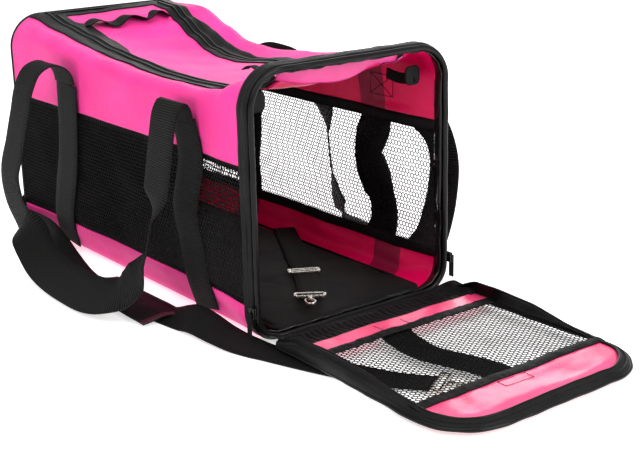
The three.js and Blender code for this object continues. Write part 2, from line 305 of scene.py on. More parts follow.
def weaveHeight(tree, coords, pitch):  # two crossed sets of ridges, for plain woven cloth
    waves = []
    for direction in ("X", "Y", "Z"):
        wave = node(tree, "ShaderNodeTexWave", Scale=math.pi / (pitch * mm) / 10, Distortion=0.4,
                    Detail=1.0)
        wave.bands_direction = direction
        tree.links.new(coords, wave.inputs["Vector"])
        waves.append(wave.outputs["Fac"])
    total = waves[0]
    for wave in waves[1:]:
        add = node(tree, "ShaderNodeMath", operation="ADD")
        tree.links.new(total, add.inputs[0])
        tree.links.new(wave, add.inputs[1])
        total = add.outputs[0]
    return total


def clothMaterial(name, dark, light, roughness, pitch, depth, creaseDepth, sheen=0.0, coat=0.0,
                  coatRoughness=0.2):
    material, tree, shader = newMaterial(name, light, roughness, 0, sheen, coat, coatRoughness)
    coords = tree.nodes.new("ShaderNodeTexCoord").outputs["Object"]
    vary(tree, shader, coords, dark, light, 14)
    creases = node(tree, "ShaderNodeTexNoise", Scale=26.0, Detail=4.0, Roughness=0.55)
    tree.links.new(coords, creases.inputs["Vector"])
    heights = [(creases.outputs["Fac"], creaseDepth)]
    if depth:
        heights.append((weaveHeight(tree, coords, pitch), depth))
    bumpFrom(tree, shader, heights)
    return material


def webbingMaterial(name, dark, light, rib, depth):
    # ribs run across the band, from the strip's own UV map
    material, tree, shader = newMaterial(name, light, 0.6)
    uvMap = tree.nodes.new("ShaderNodeUVMap")
    uvMap.uv_map = "UVMap"
    ribs = node(tree, "ShaderNodeTexWave", Scale=math.pi / (rib * mm) / 10, Distortion=0.5, Detail=2.0)
    ribs.bands_direction = "X"
    ribs.inputs["Detail Scale"].default_value = 3.0
    tree.links.new(uvMap.outputs["UV"], ribs.inputs["Vector"])
    yarns = node(tree, "ShaderNodeTexWave", Scale=math.pi / (0.8 * mm) / 10, Distortion=0.6, Detail=1.0)
    yarns.bands_direction = "Y"
    tree.links.new(uvMap.outputs["UV"], yarns.inputs["Vector"])
    ramp = tree.nodes.new("ShaderNodeValToRGB")
    ramp.color_ramp.elements[0].color = (*dark, 1)
    ramp.color_ramp.elements[1].color = (*light, 1)
    tree.links.new(ribs.outputs["Fac"], ramp.inputs["Fac"])
    tree.links.new(ramp.outputs["Color"], shader.inputs["Base Color"])
    bumpFrom(tree, shader, [(ribs.outputs["Fac"], depth), (yarns.outputs["Fac"], depth * 0.4)])
    return material


def bandShadow(material, strips):
    # paints shade onto a cloth where a dark strap sewn behind it keeps light from coming through; a strip
    # is (lean, x at the floor, half width)
    tree = material.node_tree
    shader = tree.nodes["Principled BSDF"]
    coords = tree.nodes.new("ShaderNodeTexCoord").outputs["Object"]
    split = tree.nodes.new("ShaderNodeSeparateXYZ")
    tree.links.new(coords, split.inputs[0])
    source = shader.inputs["Base Color"].links[0].from_socket
    for lean, start, half in strips:
        slope = node(tree, "ShaderNodeMath", operation="MULTIPLY_ADD")
        tree.links.new(split.outputs["Z"], slope.inputs[0])
        slope.inputs[1].default_value = -lean
        tree.links.new(split.outputs["X"], slope.inputs[2])
        away = node(tree, "ShaderNodeMath", operation="SUBTRACT")
        tree.links.new(slope.outputs[0], away.inputs[0])
        away.inputs[1].default_value = start * mm
        near = node(tree, "ShaderNodeMath", operation="ABSOLUTE")
        tree.links.new(away.outputs[0], near.inputs[0])
        edge = node(tree, "ShaderNodeMapRange")
        edge.inputs["From Min"].default_value = (half - 0.6) * mm
        edge.inputs["From Max"].default_value = (half + 0.6) * mm
        edge.inputs["To Min"].default_value = 0.72
        edge.inputs["To Max"].default_value = 0.0
        tree.links.new(near.outputs[0], edge.inputs["Value"])
        mix = node(tree, "ShaderNodeMix", data_type="RGBA")
        # painted shade: the cloth's colour where the strap behind it blocks the light
        mix.inputs[7].default_value = (0.07, 0.008, 0.028, 1)
        tree.links.new(edge.outputs[0], mix.inputs[0])
        tree.links.new(source, mix.inputs[6])
        source = mix.outputs[2]
    tree.links.new(source, shader.inputs["Base Color"])


pinkCloth = clothMaterial("pink nylon", (0.82, 0.022, 0.25), (0.92, 0.036, 0.31), 0.6, 0.7, 0.05, 0.9,
                          sheen=0.12)
crimsonCoat = clothMaterial("coated inside", (0.74, 0.001, 0.08), (0.88, 0.003, 0.115), 0.3, 0.7, 0.03,
                            1.6, coat=0.1)
crimsonFar = clothMaterial("coated inside far", (0.74, 0.001, 0.08), (0.88, 0.003, 0.115), 0.3, 0.7, 0.03,
                           1.6,
                           coat=0.1)
# painted shade of the two far straps, seen through the far inside cloth
bandShadow(crimsonFar, [(-0.18, 187, 25), (0, -122, 25)])
topCoat = clothMaterial("coated top underside", (0.62, 0.03, 0.2), (0.75, 0.05, 0.27), 0.34, 0.7, 0.03,
                        1.2, coat=0.3)
doorPink = clothMaterial("glossy pink", (0.84, 0.05, 0.17), (0.92, 0.08, 0.23), 0.3, 0.7, 0.02, 1.8,
                         coat=0.7,
                         coatRoughness=0.24)
yarn = clothMaterial("net yarn", (0.003, 0.003, 0.003), (0.007, 0.007, 0.007), 0.6, 0.4, 0.05, 0.1)
binding = clothMaterial("binding", (0.004, 0.004, 0.0045), (0.010, 0.010, 0.0105), 0.45, 0.8, 0.08, 1.0,
                        coat=0.03,
                        coatRoughness=0.2)
glossyLining = clothMaterial("glossy lining", (0.003, 0.003, 0.003), (0.008, 0.008, 0.008), 0.3, 0.8,
                             0.04, 1.6,
                             coat=0.35, coatRoughness=0.12)
sleeveEdge = clothMaterial("sleeve edge", (0.03, 0.008, 0.012), (0.075, 0.02, 0.03), 0.4, 0.5, 0.04, 0.4)
padCloth = clothMaterial("pad nylon", (0.005, 0.005, 0.005), (0.011, 0.011, 0.011), 0.55, 0.5, 0.05, 2.2)
teethBlack = clothMaterial("zip teeth", (0.005, 0.005, 0.005), (0.012, 0.012, 0.012), 0.3, 0.5, 0.0, 0.05,
                           coat=0.15)
pipingBlack = clothMaterial("piping", (0.003, 0.003, 0.0035), (0.007, 0.007, 0.0075), 0.3, 0.5, 0.0, 0.5,
                            coat=0.12,
                            coatRoughness=0.1)
enamel = clothMaterial("black enamel", (0.004, 0.004, 0.004), (0.01, 0.01, 0.01), 0.22, 0.5, 0.0, 0.05,
                       coat=0.4)
threadBlack = clothMaterial("thread", (0.012, 0.003, 0.005), (0.03, 0.005, 0.01), 0.6, 0.3, 0.03, 0.0)
webbing = webbingMaterial("webbing", (0.0015, 0.0015, 0.0015), (0.017, 0.017, 0.0165), 2.8, 0.6)
fineWebbing = webbingMaterial("narrow webbing", (0.0025, 0.0025, 0.0025), (0.012, 0.012, 0.0115), 1.6,
                              0.3)
nickel, nickelTree, nickelShader = newMaterial("nickel", (0.66, 0.63, 0.58), 0.2, 1.0)
nickelCoords = nickelTree.nodes.new("ShaderNodeTexCoord").outputs["Object"]
vary(nickelTree, nickelShader, nickelCoords, (0.16, 0.16, 0.16), (0.34, 0.34, 0.34), 220,
     socket="Roughness")
scratches = node(nickelTree, "ShaderNodeTexNoise", Scale=900.0, Detail=2.0)
nickelTree.links.new(nickelCoords, scratches.inputs["Vector"])
bumpFrom(nickelTree, nickelShader, [(scratches.outputs["Fac"], 0.03)])
print("materials made")


# camera

def addCamera():
    azimuth, elevation, roll = math.radians(52.53), math.radians(17.22), math.radians(-1.25)
    back = Vector((math.sin(azimuth) * math.cos(elevation), -math.cos(azimuth) * math.cos(elevation),
                   math.sin(elevation)))
    level = Vector((math.cos(azimuth), math.sin(azimuth), 0))
    rise = back.cross(level)
    right = level * math.cos(roll) + rise * math.sin(roll)
    up = rise * math.cos(roll) - level * math.sin(roll)
    lens = bpy.data.cameras.new("camera")
    lens.lens = 71.9
    lens.sensor_width = 36
    camera = bpy.data.objects.new("camera", lens)
    scene.collection.objects.link(camera)
    camera.matrix_world = Matrix.Translation((1.3550, -0.8730,
                                              0.5404)) @ Matrix((right, up, back)).transposed().to_4x4()
    scene.camera = camera


addCamera()


# cords: shoulder strap and tether

shoulderStrap = {
    "width": 38, "thick": 1.6,
    "route": [
        (-290.6, -40, 219), (-290.6, -40.5, 200), (-290.8, -47, 172), (-291, -75, 122), (-291, -104, 72),
        (-290, -128, 40), (-282, -147, 26), (-262, -152, 22), (-225, -153.5, 21.5), (-190, -157, 21),
        (-165, -162, 18), (-140, -165, 11.5), (-112, -169, 5.4), (-84, -174, 2.6), (-20, -184, 1.6),
        (50, -187, 1.6), (100, -178, 1.6), (136, -171, 3.4), (165, -169, 9), (205, -168, 15),
        (245, -163, 9.5),
        (270, -157, 5.4), (284, -152, 3.5), (299, -147, 2.1), (325, -138, 1.5), (365, -124, 1.6),
        (405, -108, 1.6), (447, -89, 1.8), (485, -66, 3.8)],
    "across": [(0, 1, 0), (0, 1, -0.3), (0, 1, -0.7), (0, 0.3, -1), (0, 0, -1), (0, -0.5, -1),
               (0, -1, -0.3),
               (0, -1, 0), (0, -1, 0), (0, -1, 0), (0, -1, 0), (0, -0.75, -0.6), (0, -0.97, -0.2),
               (0, -1, 0),
               (0, -1, 0), (0, -1, 0), (0, -1, 0)],
}
tether = {
    "width": 30, "thick": 1.8,
    "route": [(-16, 114, 12.9), (20, 95, 12.9), (90, 57, 12.9), (164, 16, 12.9), (198, -5, 15),
              (226, -25, 18.6)],
    "across": [(0.47, 0.88, 0), (0.47, 0.88, 0), (0.47, 0.88, 0), (0.58, 0.81, 0)],
}


def addCords():
    piece, route, length = strip("shoulder_strap_web", shoulderStrap["route"], shoulderStrap["across"],
                                 shoulderStrap["width"], shoulderStrap["thick"], 150, webbing, "bag",
                                 ["shoulder_strap"])
    print("shoulder strap", round(length), "mm")
    piece, route, length = strip("tether_web", tether["route"], tether["across"], tether["width"],
                                 tether["thick"],
                                 50, fineWebbing, "bag", ["tether_strap"])
    print("tether", round(length), "mm")


addCords()


# soft shell: sides, top and rear

shell = {
    # height of each top zip, and of the shoulder outside it, along x
    "nearZip": [(-283, 304), (-218, 291), (-162, 283), (-97, 273), (-34, 267), (36, 261), (103, 260),
                (166, 262),
                (215, 268), (238, 279), (250, 285), (262, 303)],
    "farZip": [(-283, 304), (-224, 300), (-199, 286), (-161, 267), (-124, 252), (-88, 246), (-52, 245),
               (28, 254),
               (132, 267), (215, 273), (238, 279), (250, 285), (262, 303)],
    "nearShoulder": [(-283, 305), (-210, 292), (-56, 279), (42, 272), (150, 272), (215, 278), (262, 305)],
    "farShoulder": [(-283, 305), (-215, 300), (-170, 284), (-110, 268), (-50, 264), (40, 268), (132, 278),
                    (215, 284),
                    (262, 305)],
    "topSag": 5,
}


def zipHeight(x, sign):
    return lineAt(shell["nearZip" if sign < 0 else "farZip"], x)


def billow(x, z, sign):
    # how far a side's cloth stands outwards at x and z: tied at the ends, drawn in low down
    ends = ease((x + 285) / 90) * ease((262 - x) / 70)
    low = -9 * ease(1 - z / 75) * ease((x + 285) / 60) * ease((262 - x) / 60)
    folds = 3.2 * ripple(x, 0, z, 95, sign) + 1.6 * ripple(x * 0.7 + z, 0, z, 42, sign + 3)
    strained = -2.5 * math.exp(-((x - 160) / 40) ** 2) * ease((z - 120) / 80)
    return (low + (folds + strained - 1.5) * ends) * (0.6 if z > 215 else 1)


def sidePoint(x, z, sign, lift=0.0):
    return (x, sign * (bag["side"] + billow(x, z, sign) + lift), z)


def shoulderPoint(x, t, sign, lift=0.0):
    # from the top of the net (t = 0), up and over the shoulder to the outer edge of the zip tape (t = 1)
    end = ease((x - 225) / 37) + ease((-215 - x) / 70)
    radius = 20 + (bag["topRadius"] - 20) * min(1, end)
    top = lineAt(shell["nearShoulder" if sign < 0 else "farShoulder"], x)
    zipEdge = zipHeight(x, sign) + 0.5
    outer = bag["side"]
    edgeY = bag["zipLine"] + bag["tape"]
    rise = top - radius - bag["netTop"]
    bend = radius * math.pi / 2
    flat = max(1.0, outer - radius - edgeY)
    total = rise + bend + flat
    run = t * total
    if run < rise:
        y, z = outer, bag["netTop"] + run
    elif run < rise + bend:
        a = (run - rise) / radius
        y, z = outer - radius + radius * math.cos(a), top - radius + radius * math.sin(a)
    else:
        share = (run - rise - bend) / flat
        y, z = outer - radius - share * flat, top
    over = max(0, (run - rise) / (bend + flat))
    z += (zipEdge - top) * over ** 1.6
    out = billow(x, min(z, 240), sign) * (1 - over) + lift
    folds = (1.8 * ripple(x, y, z, 60, sign + 5) + 0.9 * ripple(x, y * 2, z, 24,
                                                                2)) * ease(over * 1.5) * min(1, 1.4 - end)
    return (x, sign * (y + out * (1 - over)), z + out * over * 0.6 + folds)


def lowerPoint(x, t, sign, lift=0.0):  # from the base's edge (t = 0) round the lower corner to the net
    radius = bag["bottomRadius"]
    bend = radius * math.pi / 2
    run = t * (bend + bag["netBottom"] - radius)
    if run < bend:
        a = run / radius
        y, z = baseHalf + radius * math.sin(a), radius - radius * math.cos(a)
    else:
        y, z = bag["side"], radius + run - bend
    share = ease(z / 26)
    return (x, sign * (y + (billow(x, z, sign) + lift) * share), z + 0.8)


def xAt(u):  # along a side, from the rear end to just past the rim
    return bag["rearX"] + 2.4 + u * (bag["rimX"] + 1.5 - bag["rearX"] - 2.4)


def addShell():
    length = bag["rimX"] - bag["rearX"]
    for name, sign in (("near", -1), ("far", 1)):
        inside = crimsonFar if sign > 0 else crimsonCoat
        upper = laidGrid((130, 30), (length, 150), lambda u, v: shoulderPoint(xAt(u), v, sign, -0.6),
                         flip=sign > 0)
        thicken(makePiece(upper, name + "_upper_cloth", [pinkCloth, inside], "bag",
                          [name + "_upper_band"]), bag["cloth"], -1, 1)
        lower = laidGrid((120, 14), (length, 60), lambda u, v: lowerPoint(xAt(u), v, sign, -0.6),
                         flip=sign > 0)
        thicken(makePiece(lower, name + "_lower_cloth", [pinkCloth, inside], "bag",
                          [name + "_lower_band"]), bag["cloth"], -1, 1)
        print(name, "side cloth")


def addTop():
    half = bag["zipLine"] - bag["tape"]
    rearX, frontX = -283 + 10 + 13, 248.2

    def topPoint(x, y):
        share = (y + bag["zipLine"]) / (2 * bag["zipLine"])
        z = zipHeight(x, -1) * (1 - share) + zipHeight(x, 1) * share
        middle = 1 - (y / bag["zipLine"]) ** 2
        z -= shell["topSag"] * middle * ease((x + 285) / 120) * ease((256 - x) / 40)
        z += (2.2 * ripple(x, y, 0, 70, 9) + 1.0 * ripple(x + y, y, 0, 28,
                                                          4)) * middle * ease((250 - x) / 30)
        return (x, y, z)

    flap = laidGrid((110, 34), (frontX - rearX, 2 * half),
                    lambda u, v: topPoint(rearX + u * (frontX - rearX), (2 * v - 1) * half))
    thicken(makePiece(flap, "top_flap_cloth", [pinkCloth, crimsonCoat], "top_flap",
                      ["flap_panel"]),
            bag["cloth"], -1, 1)
    front = laidGrid((10, 40), (14, 2 * bag["zipLine"]), lambda u,
                     v: topFront(u, (2 * v - 1) * bag["zipLine"]))
    thicken(makePiece(front, "top_front_cloth", [pinkCloth, topCoat], "bag",
                      ["top_front_strip"]),
            bag["cloth"], -1, 1)
    return topPoint


def topFront(u, y):  # the short strip that drops from the rim behind the opening
    x = 251.8 + u * 11
    low = 284.5 - 13 * (1 - (y / 85) ** 2) * (1 - ease((y - 10) / 60)) * (1 - u)
    return (x, y, low + (302.5 - low) * ease(u * 0.9 + 0.1 * u * u) + 0.8 * ripple(x, y, 0, 22, 3))


addShell()
topPoint = addTop()


def rearShape(inset, count=14):
    # the bag's cross-section as a closed (y, z) outline, counter-clockwise from +X
    half, top, low, high = bag["side"] - inset, bag["height"] - inset, bag["bottomRadius"], bag["topRadius"]
    points = []
    for cy, cz, radius, start in ((half - low + inset, low, low - inset, -90),
                                  (half - high + inset, top - high + inset, high - inset, 0),
                                  (-half + high - inset, top - high + inset, high - inset, 90),
                                  (-half + low - inset, low, low - inset, 180)):
        for k in range(count + 1):
            a = math.radians(start + 90 * k / count)
            points.append((cy + radius * math.cos(a), cz + radius * math.sin(a)))
    return points


def outlinePlaces(inset, count):  # evenly spaced (point, outward) along the cross-section
    corners = rearShape(inset)
    corners.append(corners[0])
    lengths = [0]
    for (y0, z0), (y1, z1) in zip(corners, corners[1:]):
        lengths.append(lengths[-1] + math.hypot(y1 - y0, z1 - z0))
    found, k = [], 0
    for step in range(count):
        want = lengths[-1] * step / count
        while lengths[k + 1] < want or lengths[k + 1] == lengths[k]:
            k += 1
        share = (want - lengths[k]) / (lengths[k + 1] - lengths[k])
        (y0, z0), (y1, z1) = corners[k], corners[k + 1]
        ahead = Vector((0, y1 - y0, z1 - z0)).normalized()
        found.append((Vector((0, y0 + (y1 - y0) * share, z0 + (z1 - z0) * share)), ahead,
                      Vector((0, ahead.z, -ahead.y))))
    return found, lengths[-1]


def sweptRing(name, profile, count, material, replaced=(), wobble=None):
    # profile: (x, distance outwards from the cross-section's edge), swept round the front opening
    places, length = outlinePlaces(0, count)
    steps = len(profile) - 1

    def place(u, v):
        at, _, out = places[round(u * count) % count]
        x, away = profile[round(v * steps)]
        if wobble:
            x, away = wobble(at, x, away, round(u * count) % count)
        return Vector((x, at.y, at.z)) + out * away

    bm = laidGrid((count, steps), (length, 40), place, loop=True)
    bmesh.ops.recalc_face_normals(bm, faces=bm.faces)
    return makePiece(bm, name, [material], "bag", replaced)


def closedSection(cx, away, rx, ry, count):  # an oval section for sweptRing
    found = []
    for k in range(count + 1):
        a = 2 * math.pi * k / count
        found.append((cx + rx * math.cos(a), away + ry * math.sin(a)))
    return found


def addRim():
    def softPipe(at, x, away, k):
        return x + 0.7 * ripple(at.y, at.z, 0, 26, 1), away + 0.5 * ripple(at.y, at.z, 3, 18, 2)

    def softTape(at, x, away, k):
        low = ease((at.z - 20) / 40)
        return x, away + 0.9 * ripple(at.y, at.z, x * 2, 20, 5) * low

    sweptRing("rim_piping", closedSection(282.2, -4.4, 2.6, 3.4, 16), 260, pipingBlack,
              ["front_hoop"],
              softPipe)
    outer = [(262, -1.0), (263.5, 0.2), (266, 0.4), (268.5, 0.0), (269.8, -0.6), (272.2, -0.6),
             (273.5, 0.0),
             (276, 0.5), (278.5, -0.2), (280, -1.5)]
    band = sweptRing("rim_zip_tape", outer, 260, binding, ["front_zip_tape"], softTape)
    thicken(band, 1.0, 0)
    places, _ = outlinePlaces(0, 480)
    rowOf("rim_zip_teeth", [(Vector((271, at.y, at.z)) + out * -0.5, ahead, out) for at, ahead,
                            out in places],
          toothUnit, teethBlack, "bag")
    inner = [(262, -2.6), (266, -4.2), (270, -5.8), (274, -7.4), (277.5, -9.6), (279.5, -8.2)]

    def softLining(at, x, away, k):
        return x, away + 2.0 * ripple(at.y * 0.8, at.z * 0.8, x * 3, 19, 8) + 1.3 * ripple(at.y, at.z, x,
                                                                                           8, 2)

    lining = sweptRing("rim_lining", inner, 300, glossyLining, (), softLining)
    thicken(lining, 0.9, 0)
    print("front opening")


addRim()


# net windows, each a real net of six-sided holes

net = {"pitch": 5.4, "thick": 0.7}


def netPiece(name, size, place, body, replaced, keep=None, yarnWidth=0.56):
    # a net of size (along, up) in millimetres, laid onto place(along, up); keep(along, up) drops cells
    pitch, rise = net["pitch"], net["pitch"] * math.sqrt(3) / 2
    columns, rows = math.ceil(size[0] / pitch) + 1, math.ceil(size[1] / rise) + 1
    bm = bmesh.new()
    made = bmesh.ops.create_circle(bm, cap_ends=True, segments=6,
                                   radius=pitch / math.sqrt(3) * mm)["verts"]
    bmesh.ops.rotate(bm, verts=made, cent=(0, 0, 0), matrix=Matrix.Rotation(math.pi / 6, 3, "Z"))
    hole = bm.faces[:]
    bmesh.ops.inset_individual(bm, faces=hole, thickness=yarnWidth * mm)
    bmesh.ops.delete(bm, geom=hole, context="FACES_ONLY")
    cell = bm.verts[:] + bm.edges[:] + bm.faces[:]
    row = list(cell)
    for k in range(1, columns):
        copy = bmesh.ops.duplicate(bm, geom=cell)["geom"]
        bmesh.ops.translate(bm, vec=(k * pitch * mm, 0, 0),
                            verts=[g for g in copy if isinstance(g, bmesh.types.BMVert)])
        row += copy
    for k in range(1, rows):
        copy = bmesh.ops.duplicate(bm, geom=row)["geom"]
        bmesh.ops.translate(bm, vec=(pitch / 2 * (k % 2) * mm, k * rise * mm, 0),
                            verts=[g for g in copy if isinstance(g, bmesh.types.BMVert)])
    bmesh.ops.remove_doubles(bm, verts=bm.verts, dist=0.00003)
    lost = []
    for face in bm.faces:
        centre = face.calc_center_median() / mm
        if not (0 <= centre.x <= size[0] and 0 <= centre.y <= size[1]) or (keep and not keep(centre.x,
                                                                                             centre.y)):
            lost.append(face)
    bmesh.ops.delete(bm, geom=lost, context="FACES")
    for vert in bm.verts:
        vert.co = Vector(place(vert.co.x / mm, vert.co.y / mm)) * mm
    bmesh.ops.recalc_face_normals(bm, faces=bm.faces)
    piece = makePiece(bm, name, [yarn], body, replaced, smoothed=False)
    return thicken(piece, net["thick"], 0)


def addSideNets():
    length = bag["rimX"] - bag["rearX"] - 3
    tall = bag["netTop"] - bag["netBottom"]
    for name, sign in (("near", -1), ("far", 1)):
        netPiece(name + "_net", (length, tall), lambda a,
                 b: sidePoint(bag["rearX"] + 2 + a, bag["netBottom"] + b, sign, -1),
                 "bag", [name + "_side_net"])
        for edge, z, half in (("lower", bag["netBottom"], 6.5), ("upper", bag["netTop"], 7)):
            # bindings inside the net
            def hem(u, v):
                return sidePoint(xAt(u), z + (2 * v - 1) * half + 0.6 * ripple(xAt(u), 0, z, 30), sign,
                                 -2.6 - 0.8 * ripple(xAt(u), v, z, 14, 6))

            piece = makePiece(laidGrid((120, 3), (length, 2 * half), hem, flip=sign > 0),
                              f"{name}_{edge}_net_binding", [binding], "bag")
            thicken(piece, 1.1, 0)
        print(name, "net")


addSideNets()


# rear end with its net window

rearWindow = {"halfWidth": 95, "low": 60, "high": 205, "corner": 25}


def roundedOutline(halfWidth, low, high, corner, count=8):
    points = []
    for cy, cz, start in ((halfWidth - corner, low + corner, -90), (halfWidth - corner, high - corner, 0),
                          (corner - halfWidth, high - corner, 90),
                          (corner - halfWidth, low + corner, 180)):
        for k in range(count + 1):
            a = math.radians(start + 90 * k / count)
            points.append((cy + corner * math.cos(a), cz + corner * math.sin(a)))
    return points


def rearBulge(y, z):
    return 1.2 * ripple(0, y, z, 60, 11) * ease(1 - abs(y) / 150)


def addRear():
    outer = rearShape(0, 8)
    inner = roundedOutline(**rearWindow)
    bm = bmesh.new()
    loops = []
    for outline in (outer, inner):
        verts = [bm.verts.new(Vector((-284.2, y, z)) * mm) for y, z in outline]
        loops.append([bm.edges.new((a, b)) for a, b in zip(verts, verts[1:] + verts[:1])])
    made = bmesh.ops.bridge_loops(bm, edges=loops[0] + loops[1])
    bmesh.ops.subdivide_edges(bm, edges=[e for e in made["edges"] if e.is_valid], cuts=5,
                              use_grid_fill=True)
    for vert in bm.verts:
        vert.co.x += rearBulge(vert.co.y / mm, vert.co.z / mm) * mm
    bmesh.ops.recalc_face_normals(bm, faces=bm.faces)
    if sum(f.normal.x * f.calc_area() for f in bm.faces) > 0:
        bmesh.ops.reverse_faces(bm, faces=bm.faces)
    thicken(makePiece(bm, "rear_cloth", [pinkCloth, crimsonCoat], "bag", ["rear_panel"]),
            bag["cloth"],
            -1, 1)
    half, low, high = rearWindow["halfWidth"], rearWindow["low"], rearWindow["high"]
    netPiece("rear_window_net", (2 * half, high - low), lambda a,
             b: (-283.6 + rearBulge(a - half, low + b), a - half, low + b),
             "bag", ["rear_net"],
             lambda a, b: math.hypot(max(0, abs(a - half) - half + 25),
                                     max(0, abs(b + low - 132.5) - 72.5 + 25)) < 25.5)
    lining = bmesh.new()
    verts = [lining.verts.new(Vector((-281.4, y, z)) * mm) for y, z in rearShape(3, 8)]
    made = bmesh.ops.contextual_create(lining, geom=verts)["faces"]
    for inset in (8, 22, 30, 30):
        bmesh.ops.inset_region(lining, faces=made, thickness=inset * mm, use_even_offset=True)
    bmesh.ops.recalc_face_normals(lining, faces=lining.faces)
    for vert in lining.verts:
        vert.co.x += 1.5 * ripple(0, vert.co.y / mm, vert.co.z / mm, 40, 13) * mm
    if sum(f.normal.x * f.calc_area() for f in lining.faces) < 0:
        bmesh.ops.reverse_faces(lining, faces=lining.faces)
    thicken(makePiece(lining, "rear_lining", [padCloth], "bag"), 1.0, -1)
    frameLine = [(-285.0, y, z) for y, z in inner]
    pathTube("rear_window_piping", frameLine, 2.2, binding, "bag", closed=True)
    seam = [(-284.2, y, z) for y, z in rearShape(1.4, 12)]
    pathTube("rear_seam_piping", seam, 2.4, pipingBlack, "bag", closed=True)


addRear()


# straps sewn to the sides, and the two carrying handles

sideStraps = {
    "near_rear": {"sign": -1, "line": [(-168, 12), (-163, 48), (-152, 84), (-134, 130), (-126, 185),
                                       (-118, 238)], "wave": 4},
    "near_front": {"sign": -1, "line": [(172, 12), (164, 48), (159, 90), (155, 130), (162, 190),
                                        (160, 238)], "wave": 4},
    "far_rear": {"sign": 1, "line": [(-121, 12), (-126, 48), (-135, 84), (-131, 130), (-126, 185),
                                     (-118, 238)], "wave": 3},
    "far_front": {"sign": 1, "line": [(150, 24), (157, 38), (165, 54), (164, 77), (158, 99), (141, 117),
                                      (124, 133), (124, 152), (141, 175), (156, 198), (166, 238)],
                  "wave": 9},
}
handles = {
    "width": 50, "thick": 1.9,
    "near": [
        (-118, -148.5, 238), (-118, -150, 248), (-119, -156, 258), (-121, -170, 265), (-125, -188, 258),
        (-129, -200, 236), (-131, -208, 203), (-141, -214, 162), (-152, -219, 124), (-143, -220, 93),
        (-120, -218, 64), (-99, -219, 42), (-72, -222, 28), (-38, -225, 22), (16, -227, 20),
        (72, -226, 22),
        (106, -219, 30), (129, -209, 46),
        (144, -197, 76), (153, -189, 122), (159, -181, 180), (161, -175, 222), (161, -168, 249),
        (160.5, -159, 258),
        (160, -152, 252), (160, -148.5, 238)],
    "far": [
        (-118, 149.5, 214), (-115, 150.5, 224), (-102, 152, 231), (-72, 157, 235), (-38, 160, 234),
        (-8, 164, 221),
        (10, 168, 190), (15, 171, 145), (20, 172, 100), (36, 173, 50), (62, 180, 19), (90, 190, 9),
        (140, 194, 7), (180, 186, 10), (206, 178, 26), (230, 172, 66), (246, 168, 112), (250, 166, 156),
        (238, 163, 188), (216, 160, 206), (194, 156, 215), (176, 152, 218), (158, 150.5, 216)],
}


def strapPoint(x, z, sign, wave):
    lift = 1.3 + wave * (0.5 + 0.5 * math.sin(z / 19)) * ease((z - 50) / 50) * ease((225 - z) / 40)
    lift += 3.5 * ease((z - 200) / 38)
    if z < bag["netBottom"]:
        low, high = 0.0, 1.0
        for _ in range(14):
            middle = (low + high) / 2
            if lowerPoint(x, middle, sign)[2] < z:
                low = middle
            else:
                high = middle
        return Vector((x, lowerPoint(x, high, sign)[1] + sign * 2.6, z - 1))
    return Vector(sidePoint(x, z, sign, lift))


def nearTurns():  # width directions of the near loop, which lies low between two shares of its length
    lying = (0, 0.75, 0.66)
    turns = [(1, 0, 0) if k / 30 < 0.36 else (-1, 0, 0) if k / 30 > 0.64 else lying for k in range(31)]
    turns[22:25] = [(-0.8, 0.6, 0)] * 3
    return turns


def farTurns():  # width directions of the far loop: folded over at the top, twisted in its rear leg
    turns = {0: (1, 0, 0), 1: (0.8, 0, -0.6), 3: (0, 0.35, -0.93), 4: (-0.3, 0.35, -0.88), 6: (-1, 0, 0),
             8: (-0.79, 0.61, 0), 10: (-0.79, 0.61, 0), 12: (-0.97, 0.25, 0), 14: (0, 1, 0),
             17: (0, 1, 0),
             20: (1, 0, 0), 25: (1, 0, 0), 27: (0.7, 0, 0.7), 30: (0, 0, 1)}
    keys = sorted(turns)
    found = []
    for k in range(31):
        low = max(n for n in keys if n <= k)
        high = min(n for n in keys if n >= k)
        share = (k - low) / max(1, high - low)
        found.append(tuple(Vector(turns[low]).lerp(Vector(turns[high]), share)))
    return found


def addStraps():
    for name, told in sideStraps.items():
        sign = told["sign"]
        route = [strapPoint(x, z, sign, told["wave"]) for x, z in told["line"]]
        strip(name + "_webbing", route, [(1, 0, 0), (1, 0, 0)], handles["width"], 1.7, 60, webbing, "bag",
              [name + "_strap"])
    for name, directions in (("near", nearTurns()), ("far", farTurns())):
        strip(name + "_handle_webbing", handles[name], directions, handles["width"], handles["thick"],
              150, webbing,
              name + "_handle_loop", [name + "_handle"])



addStraps()


# sleeve that wraps both handles, lying open beside the near one

sleeve = {"x": (-12, 152), "y": (-208, -152), "z": 4.6}


def addSleeve():
    (x0, x1), (y0, y1) = sleeve["x"], sleeve["y"]

    def place(u, v):
        x, y = x0 + u * (x1 - x0), y0 + v * (y1 - y0)
        lean = 0.10 * (y - y0)
        return (x + lean, y, sleeve["z"] + 1.4 * ripple(x, y, 0, 40,
                                                        2) + 3.5 * math.exp(-((v - 0.5) / 0.3) ** 2))

    bm = laidGrid((40, 16), (x1 - x0, y1 - y0), place)
    thicken(makePiece(bm, "handle_sleeve", [padCloth], "near_handle_loop", ["handle_wrap"]),
            2.2, 0)
    for name, u in (("rear", 0.02), ("front", 0.98)):
        edge = [Vector(place(u, v / 20)) + Vector((0, 0, 1.5)) for v in range(21)]
        strip(f"handle_sleeve_{name}_edge", edge, [(1, 0, 0), (1, 0, 0)], 9, 0.8, 20, sleeveEdge,
              "near_handle_loop")


addSleeve()


# top zips: tapes, coils, sliders and pulls

def zipPlaces(sign, y, x0, x1, pitch, lift):
    found = []
    count = round((x1 - x0) / pitch)
    for k in range(count):
        x = x0 + (k + 0.5) * pitch
        a = Vector((x - 1, sign * y, zipHeight(x - 1, sign) + lift))
        b = Vector((x + 1, sign * y, zipHeight(x + 1, sign) + lift))
        ahead = (b - a).normalized()
        found.append((Vector((x, sign * y, zipHeight(x, sign) + lift)), ahead,
                      Vector((-ahead.z, 0, ahead.x))))
    return found


